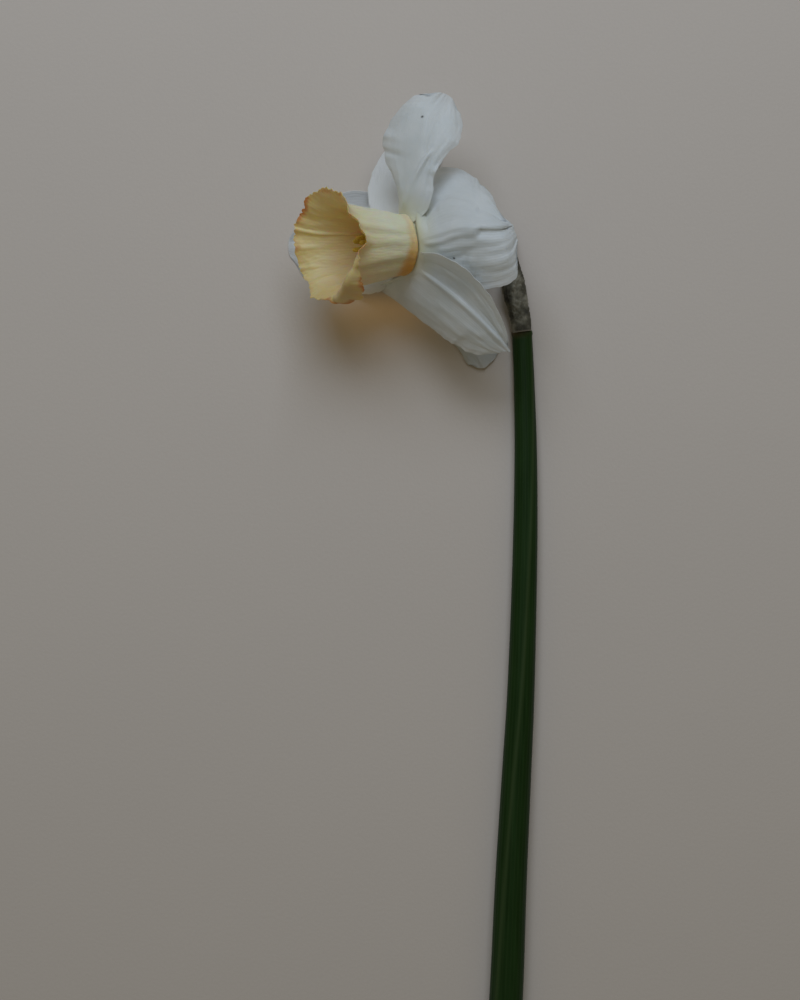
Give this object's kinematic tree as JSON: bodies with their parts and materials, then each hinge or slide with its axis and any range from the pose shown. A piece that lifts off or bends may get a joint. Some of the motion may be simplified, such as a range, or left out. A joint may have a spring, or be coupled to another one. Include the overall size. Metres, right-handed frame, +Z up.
{
  "type": "daffodil flower",
  "caption": "Cut daffodil lying on its side, with white petals, a yellow trumpet cup with a frilled rim, a papery sheath and a long green stem.",
  "frame": {"origin": "centre of the bounding box's underside, on the surface the flower lies on", "axes": "+Z up from the surface, +Y along the stem from its cut end towards the flower head, the cup opens towards -X and a little upwards"},
  "size_m": [0.0804, 0.356, 0.0488],
  "materials": {
    "petal": "thin white petal, satin, slightly translucent, with fine lengthwise veins",
    "cup": "soft yellow petal tissue, satin, orange at its foot and in spots on its frilled rim",
    "tube": "pale green-yellow, smooth",
    "ovary": "smooth fleshy green",
    "stem": "dark green, fleshy, with fine lengthwise ribs and a waxy sheen",
    "spathe": "dry papery grey-brown, wrinkled, matte",
    "filament": "pale yellow-green, smooth",
    "anther": "orange-yellow, powdery with pollen"
  },
  "bodies": {
    "root": {"anther_1": "anther", "anther_2": "anther", "anther_3": "anther", "anther_4": "anther", "anther_5": "anther", "anther_6": "anther", "corona": "cup", "filament_1": "filament", "filament_2": "filament", "filament_3": "filament", "filament_4": "filament", "filament_5": "filament", "filament_6": "filament", "ovary": "ovary", "pedicel": "ovary", "perianth_tube": "tube", "spathe": "spathe", "stem": "stem", "style": "filament", "tepal_inner_1": "petal", "tepal_inner_2": "petal", "tepal_inner_3": "petal", "tepal_outer_1": "petal", "tepal_outer_2": "petal", "tepal_outer_3": "petal"}
  },
  "joints": []
}
